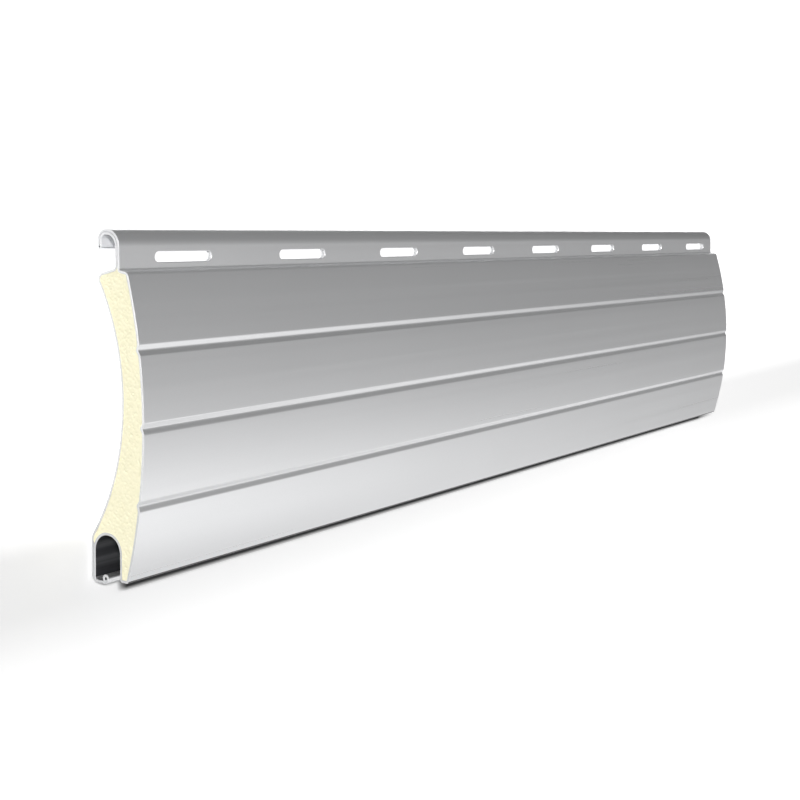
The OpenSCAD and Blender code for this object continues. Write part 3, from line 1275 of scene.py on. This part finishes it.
    def _slotted_faces(self, draft: MeshDraft, points: np.ndarray, rim: list[tuple[int, int]]) -> None:
        """Adds the web's two flat faces and the slots between them.

        Args:
            draft: the mesh.
            points: the section's points.
            rim: the edges against the air.
        """
        stations = self._stations
        count = self.section.sizes.slot_count
        y_front, y_rear = self.section.y_web, self.section.y_web + self.section.double
        for a, b in rim:
            if not self._is_web_face(points, a, b):
                continue
            low, high = sorted((points[a][1], points[b][1]))
            at_front = abs(points[a][0] - y_front) < SAME
            y = points[a][0]
            grow = self.rim_flat + (self.rim_front if at_front else self.rim_rear)
            rings = [self._slot_ring(i, grow) for i in range(count)]
            border = [(x, low) for x in stations] + [(x, high) for x in reversed(stations)]
            self._panel(draft, y, border, rings, at_front)
        middle = (y_front + y_rear) / 2
        half_seam, dip = self.section.sizes.seam / 2, self.glue_recess / 2
        # The slot walls' punched metal is painted near-white, standing in for light on them.
        steps = [(y_front, self.rim_front + self.rim_flat, Finish.COAT)]
        steps += [(y_front + depth, grow, Finish.COAT) for depth, grow in self.rolled_edge]
        steps += [
            (middle - half_seam, 0.0, Finish.PUNCHED_PAINTED_LIGHT),
            (middle - half_seam / 2, dip, Finish.GLUE),
            (middle + half_seam / 2, dip, Finish.GLUE),
            (middle + half_seam, 0.0, Finish.GLUE),
        ]
        steps += [(y_rear - depth, grow, Finish.PUNCHED_PAINTED_LIGHT) for depth, grow in self.burred_edge]
        steps.append((y_rear, self.rim_rear + self.rim_flat, Finish.COAT))
        for number in range(count):
            for (y_a, grow_a, _), (y_b, grow_b, finish) in zip(steps, steps[1:]):
                ring_a, ring_b = self._slot_ring(number, grow_a), self._slot_ring(number, grow_b)
                for i in range(len(ring_a)):
                    j = (i + 1) % len(ring_a)
                    places = ((ring_a[i], y_a), (ring_a[j], y_a), (ring_b[j], y_b), (ring_b[i], y_b))
                    draft.face([draft.vertex(x, y, z) for (x, z), y in places], finish)

    @staticmethod
    def _panel(draft: MeshDraft, y: float, border: list[Point], rings: list[list[Point]], at_front: bool) -> None:
        """Adds a flat face in (X, Z) with holes.

        Args:
            draft: the mesh.
            y: where the face lies.
            border: its outline.
            rings: outlines of the holes.
            at_front: whether it looks to -Y.
        """
        corners: list[Vector] = []
        edges: list[tuple[int, int]] = []
        for loop in [border, *rings]:
            start = len(corners)
            corners += [Vector(p) for p in loop]
            edges += [(start + i, start + (i + 1) % len(loop)) for i in range(len(loop))]
        found = delaunay_2d_cdt(corners, edges, [], 0, MERGED / 10)
        places = np.array([tuple(p) for p in found[0]])
        middles = np.array([places[list(t)].mean(axis=0) for t in found[2]])
        keep = inside(border, middles)
        for ring in rings:
            keep &= ~inside(ring, middles)
        for triangle, wanted in zip(found[2], keep):
            if wanted:
                numbers = [draft.vertex(places[i][0], y, places[i][1]) for i in triangle]
                draft.face(numbers if at_front else numbers[::-1])


@dataclass
class FoamCore:
    """The foam that fills the body, with its cells open where it is cut."""

    section: SlatSection
    clearance: float = 0.02
    recess: float = 0.05
    spacing: float = 0.2
    cell: float = 0.42
    cell_depth: float = 0.07
    void_chance: float = 0.03
    void_depth: float = 0.12
    border: float = 0.12
    sharp: float = 50.0
    seed: int = 11

    def build(self, materials: list[bpy.types.Material]) -> bpy.types.Object:
        """Builds the foam.

        Args:
            materials: the foam's own material.

        Returns:
            The finished piece, which stands for the foam's solid.
        """
        draft = MeshDraft()
        loop = self.section.loop(self.section.foam_names, self.section.sizes.sheet + self.clearance)
        loop = [p for i, p in enumerate(loop) if math.dist(p, loop[i - 1]) > SAME]
        for end in (-1, 1):
            self._cut_face(draft, loop, end)
        reach = self.section.sizes.length / 2 - self.recess
        for a, b in zip(loop, loop[1:] + loop[:1]):
            draft.strip(-reach, reach, a, b)
        piece = draft.build("foam_core_filling", materials, self.sharp, self.section.laid_down)
        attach(piece, "root")
        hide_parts("foam_core")
        return piece

    def _grid(self, loop: list[Point], end: int) -> np.ndarray:
        """Points spread over the cut face.

        Args:
            loop: the foam's outline.
            end: which end it is, so that the two differ.

        Returns:
            The points, clear of the outline.
        """
        chance = random.Random(self.seed + end)
        outline = np.array(loop)
        low, high = outline.min(axis=0), outline.max(axis=0)
        rows = int((high[1] - low[1]) / (self.spacing * 0.866)) + 1
        columns = int((high[0] - low[0]) / self.spacing) + 1
        places = []
        for row in range(rows):
            for column in range(columns):
                y = low[0] + (column + 0.5 * (row % 2)) * self.spacing
                z = low[1] + row * self.spacing * 0.866
                y += chance.uniform(-0.3, 0.3) * self.spacing
                z += chance.uniform(-0.3, 0.3) * self.spacing
                places.append((y, z))
        spread = np.array(places)
        spread = spread[inside(loop, spread)]
        clear = np.array([np.min(np.hypot(*(outline - p).T)) for p in spread])
        return spread[clear > self.border]

    def _dip(self, y: float, z: float, end: int) -> float:
        """How far a point of the cut face lies below the cut.

        Args:
            y: the point's place across the slat.
            z: its height.
            end: which end it is on.

        Returns:
            The depth of the cell that was cut open there.
        """
        place = Vector((y / self.cell, z / self.cell, 7.3 * end))
        distances, centres = noise.voronoi(place)
        wall = min(1.0, (distances[1] - distances[0]) / 0.5)
        share = noise.cell(centres[0] * 3.1)
        depth = self.cell_depth * (0.4 + 0.6 * share) * wall
        if noise.cell(centres[0] * 7.7) < self.void_chance:
            depth += self.void_depth * wall
        return depth

    def _cut_face(self, draft: MeshDraft, loop: list[Point], end: int) -> None:
        """Adds one cut face with its open cells.

        Args:
            draft: the mesh.
            loop: the foam's outline.
            end: -1 for the end at low X, and 1 for the other.
        """
        grid = self._grid(loop, end)
        corners = [Vector(p) for p in loop] + [Vector(p) for p in grid]
        edges = [(i, (i + 1) % len(loop)) for i in range(len(loop))]
        found = delaunay_2d_cdt(corners, edges, [], 0, MERGED)
        places = np.array([tuple(p) for p in found[0]])
        middles = np.array([places[list(t)].mean(axis=0) for t in found[2]])
        on_edge = {tuple(np.round(p, 4)) for p in loop}
        reach = self.section.sizes.length / 2 - self.recess
        numbers = []
        for y, z in places:
            dip = 0.0 if tuple(np.round((y, z), 4)) in on_edge else self._dip(y, z, end)
            numbers.append(draft.vertex(end * (reach - dip), y, z))
        for triangle, wanted in zip(found[2], inside(loop, middles)):
            if wanted:
                face = [numbers[i] for i in triangle]
                draft.face(face if end > 0 else face[::-1])


@dataclass(frozen=True)
class Studio:
    """Pale floor, light tent, key lamp, and the camera at the photograph's viewing angle.

    The camera's place and turns are those over the slat as it hangs, and are laid down with it.
    """

    pose: Matrix
    camera_place: tuple[float, float, float] = (-0.2874, -0.1688, 0.0610)
    camera_heading: float = 35.216
    camera_pitch: float = -1.78
    lens: float = 58.5
    shift_y: float = -0.1562
    floor_half: float = 5.0
    floor_span: float = 0.133
    floor_tone: float = 0.92
    # Painted shadow: the floor's tone under the slat's foot, and the edges of that strip in Y and X.
    painted_shadow_tone: float = 0.10
    painted_shadow_edges: tuple[tuple[float, float], ...] = (
        (-0.0349, -0.0340), (-0.0300, -0.0315), (-0.1270, -0.1245), (0.1565, 0.1420),
    )
    # Painted shade: the floor's glow dimmed along the slat's foot, from its left end to its right.
    painted_shade_glow: tuple[float, float] = (0.15, 0.36)
    open_glow: float = 0.85
    painted_shade_glow_edges: tuple[tuple[float, float], ...] = ((-0.070, -0.034), (-0.024, -0.010))
    tent_radius: float = 4.5
    tent_rings: int = 16
    tent_columns: int = 64
    tent_tones: tuple[tuple[float, float], ...] = (
        (-0.80, 0.60), (-0.60, 0.98), (-0.45, 1.44), (-0.30, 1.0), (-0.20, 0.83), (-0.12, 0.66), (0.10, 0.46),
        (0.22, 0.385), (0.37, 0.365), (0.50, 0.24), (1.0, 0.12),
    )
    low_tones: tuple[tuple[float, float], ...] = (
        (-0.98, 1.10), (-0.88, 1.38), (-0.79, 0.44), (-0.65, 0.99), (-0.50, 1.02),
    )
    far_end: tuple[tuple[float, float], ...] = ((0.62, 1.0), (0.82, 0.765), (0.96, 0.535))
    left_side: tuple[float, float] = (-0.25, 0.35)
    left_tone: float = 1.08
    ambient: float = 0.05
    card: tuple[float, float, float] = (0.16, 0.0335, 0.016)
    card_tones: tuple[float, float] = (0.185, 0.148)
    card_rise: tuple[float, float] = (1.0, 1.6)
    lamps: tuple[tuple[tuple[float, float, float], float, float], ...] = (
        ((-1.72, 0.85, 1.80), 0.22, 54.0),
        ((-1.20, 1.00, 2.60), 1.60, 10.0),
    )

    def build(self) -> None:
        """Builds the whole studio."""
        self._camera()
        self._floor()
        self._tent()
        self._card()
        self._world()
        self._lamps()
        bpy.context.scene.view_settings.view_transform = "Standard"

    def _camera(self) -> None:
        """Sets the camera where it sees the slat as the photograph does."""
        data = bpy.data.cameras.new("camera")
        data.lens = self.lens
        data.sensor_width = 36.0
        data.shift_y = self.shift_y
        data.clip_start = 0.01
        camera = bpy.data.objects.new("camera", data)
        turns = (math.radians(QUARTER + self.camera_pitch), 0.0, math.radians(self.camera_heading - QUARTER))
        hanging = Matrix.Translation(self.camera_place) @ Euler(turns).to_matrix().to_4x4()
        camera.matrix_world = self.pose @ hanging
        bpy.context.scene.collection.objects.link(camera)
        bpy.context.scene.camera = camera

    def _floor(self) -> None:
        """Lays the pale floor, which shows white and keeps the slat's shadow, with painted shade: a dark painted
        shadow strip under the slat's foot and a dimmed glow beside it.
        """
        draft = MeshDraft()
        reach = self.floor_half / MM
        corners = [(-reach, -reach), (reach, -reach), (reach, reach), (-reach, reach)]
        draft.face([draft.vertex(x, y, 0.0) for x, y in corners])
        material, writer, shader = new_material("pale_floor")
        set_inputs(
            shader,
            {"Roughness": 0.7, "Specular IOR Level": 0.1, "Emission Color": (1.0, 1.0, 1.0, 1.0)},
        )
        place = writer.add("ShaderNodeSeparateXYZ", {0: writer.add("ShaderNodeTexCoord").outputs["Object"]})
        x, y = place.outputs["X"], place.outputs["Y"]
        (far, near), (under, beyond) = self.painted_shade_glow_edges
        # Painted shade: the glow is dimmed beside the slat's foot, and full on the open floor.
        level = writer.ramp(x, -self.floor_span, self.floor_span, *self.painted_shade_glow)
        for start, end, low, high in ((far, near, 1.0, 0.0), (under, beyond, 0.0, 1.0)):
            level = self._blend(writer, writer.ramp(y, start, end, low, high), level, self.open_glow)
        # Painted shadow: a dark strip of floor under the slat's foot, with no glow, seen as the dark line below the
        # front edge.
        painted_shadow: object = 1.0
        for axis, (start, end) in zip((y, y, x, x), self.painted_shadow_edges):
            painted_shadow = writer.math("MULTIPLY", writer.ramp(axis, start, end, 0.0, 1.0), painted_shadow)
        tone = self._blend(writer, painted_shadow, self.floor_tone, self.painted_shadow_tone)
        level = self._blend(writer, painted_shadow, level, 0.0)
        colour = writer.add("ShaderNodeCombineColor", {"Red": tone, "Green": tone, "Blue": tone}).outputs["Color"]
        glow = writer.math("MULTIPLY", self._seen(writer), level)
        link_inputs(writer, shader, {"Base Color": colour, "Emission Strength": glow})
        draft.build("floor", [material], 30.0)

    def _tent(self) -> None:
        """Raises the light tent, bright beside the slat's foot and end, and dim beyond its hook."""
        draft = MeshDraft()
        radius = self.tent_radius / MM
        rings = []
        for i in range(self.tent_rings + 1):
            rise = math.radians(QUARTER * i / self.tent_rings)
            flat, height = radius * math.cos(rise), radius * math.sin(rise)
            turns = [4 * QUARTER * k / self.tent_columns for k in range(self.tent_columns)]
            rings.append([draft.vertex(*polar((0.0, 0.0), flat, turn), height) for turn in turns])
        for low, high in zip(rings, rings[1:]):
            for k in range(self.tent_columns):
                n = (k + 1) % self.tent_columns
                draft.face([low[n], low[k], high[k], high[n]])
        material, writer = blank_material("tent_light")
        place = writer.add("ShaderNodeTexCoord").outputs["Object"]
        way = writer.add("ShaderNodeVectorMath", {0: place}, operation="NORMALIZE").outputs[0]
        parts = writer.add("ShaderNodeSeparateXYZ", {0: way})
        along = parts.outputs["X"]
        spread = writer.math("SQRT", writer.math("SUBTRACT", 1.0, writer.math("MULTIPLY", along, along), True))
        slant = writer.math("DIVIDE", parts.outputs["Y"], writer.math("MAXIMUM", spread, 0.001))
        level = self._curve(writer, parts.outputs["Y"], self.tent_tones)
        for value, knots in ((along, self.far_end), (slant, self.low_tones)):
            level = writer.math("MULTIPLY", level, self._curve(writer, value, knots))
        side = writer.ramp(along, *self.left_side, 1.0, 0.0)
        rest = writer.math("SUBTRACT", self.left_tone, level)
        level = writer.math("ADD", level, writer.math("MULTIPLY", side, rest))
        writer.glow(level)
        tent = draft.build("light_tent", [material], 30.0)
        tent.visible_camera = False
        tent.visible_diffuse = False

    def _card(self) -> None:
        """Stands a grey card beyond the hook, which only reflections show."""
        half, y, height = self.card
        draft = MeshDraft()
        corners = [(-half, 0.0), (half, 0.0), (half, height), (-half, height)]
        draft.face([draft.vertex(x / MM, y / MM, z / MM) for x, z in corners])
        material, writer = blank_material("grey_card")
        place = writer.add("ShaderNodeSeparateXYZ", {0: writer.add("ShaderNodeTexCoord").outputs["Object"]})
        tone = writer.ramp(place.outputs["X"], -self.floor_span, self.floor_span, *self.card_tones)
        tone = writer.math("MULTIPLY", tone, writer.ramp(place.outputs["Z"], 0.0, height, *self.card_rise))
        writer.glow(tone)
        card = draft.build("grey_card", [material], 30.0)
        card.visible_camera = card.visible_diffuse = card.visible_shadow = False

    def _world(self) -> None:
        """Shows white beyond the floor, and gives the shadows a little light."""
        world = bpy.data.worlds.new("studio")
        world.use_nodes = True
        world.node_tree.nodes.clear()
        bpy.context.scene.world = world
        writer = NodeWriter(world.node_tree)
        level = writer.ramp(self._seen(writer), 0.0, 1.0, self.ambient, 1.0)
        white = writer.add("ShaderNodeBackground", {"Color": (1.0, 1.0, 1.0, 1.0), "Strength": level})
        writer.add("ShaderNodeOutputWorld", {"Surface": white.outputs[0]})

    @staticmethod
    def _curve(writer: NodeWriter, value: bpy.types.NodeSocket, knots: tuple[tuple[float, float], ...]) -> object:
        """Curve of straight runs through knots, held at both ends.

        Args:
            writer: writer of the material's nodes.
            value: where on the curve it is read.
            knots: place and level of each knot, in rising order.

        Returns:
            The level there.
        """
        level: object = knots[0][1]
        for (start, first), (end, last) in zip(knots, knots[1:]):
            level = writer.math("ADD", writer.ramp(value, start, end, 0.0, last - first), level)
        return level

    @staticmethod
    def _blend(writer: NodeWriter, share: object, first: object, second: object) -> bpy.types.NodeSocket:
        """Mix of two numbers or sockets."""
        node = writer.add("ShaderNodeMix", {0: share, 2: first, 3: second}, data_type="FLOAT")
        return node.outputs[0]

    @staticmethod
    def _seen(writer: NodeWriter) -> bpy.types.NodeSocket:
        """Share of a ray that is seen: 1 for camera, glossy and transmission rays, and 0 for the rest."""
        light = writer.add("ShaderNodeLightPath")
        direct = writer.math("MAXIMUM", light.outputs["Is Camera Ray"], light.outputs["Is Glossy Ray"])
        return writer.math("MAXIMUM", direct, light.outputs["Is Transmission Ray"])

    def _lamps(self) -> None:
        """Hangs the lamps beyond the hook, a small hard one and a large soft one.

        The shadow of the hard one falls along the slat's foot, where the floor's painted shadow strip and the fold's
        painted shade make it a dark line.
        """
        for number, (place, size, power) in enumerate(self.lamps):
            data = bpy.data.lights.new(f"lamp_{number}", "AREA")
            data.shape = "SQUARE"
            data.size = size
            data.energy = power
            lamp = bpy.data.objects.new(f"lamp_{number}", data)
            lamp.location = place
            lamp.rotation_euler = (-Vector(place)).to_track_quat("-Z", "Y").to_euler()
            bpy.context.scene.collection.objects.link(lamp)


def main() -> None:
    """Builds the slat and its studio, and reports each piece."""
    logging.basicConfig(level=logging.INFO, format="%(name)s: %(message)s", stream=sys.stdout)
    effects = {"streaks": SharedEffects.streaks(), "grain": SharedEffects.grain()}
    section = SlatSection()
    coat, sawn = SilverCoat().material(effects), SawnMetal().material(effects)
    # A less metallic, matt copy of the silver coat for inside the hook: painted light in its shaded hollow.
    inner = SilverCoat(
        name="hook_inside_painted_light_coat", pale=(0.80, 0.805, 0.82), deep=(0.74, 0.745, 0.76),
        metallic=0.25, smoothest=0.45, roughest=0.55,
    )
    # Near-white copy of the bare metal for the slot walls: painted light on them.
    punched = SawnMetal(
        name="punched_metal_painted_light", bright=(0.93, 0.935, 0.94), dull=(0.86, 0.865, 0.87), metallic=0.30
    )
    # The pocket's dark material is painted shade, for the pocket and the fold at the foot.
    glue, pocket_shade, foam = (finish.material(effects) for finish in (SeamGlue(), PocketPaintedShade(), CutFoam()))
    strip = [coat, sawn, glue, pocket_shade, punched.material(effects), inner.material(effects)]
    pieces = [RolledSkin(section).build(strip), FoamCore(section).build([foam])]
    for piece in pieces:
        LOG.info("%s: %d faces, %s mm", piece.name, len(piece.data.polygons),
                 [round(d / MM, 2) for d in piece.dimensions])
    Studio(section.laid_down).build()


if __name__ == "__main__":
    main()
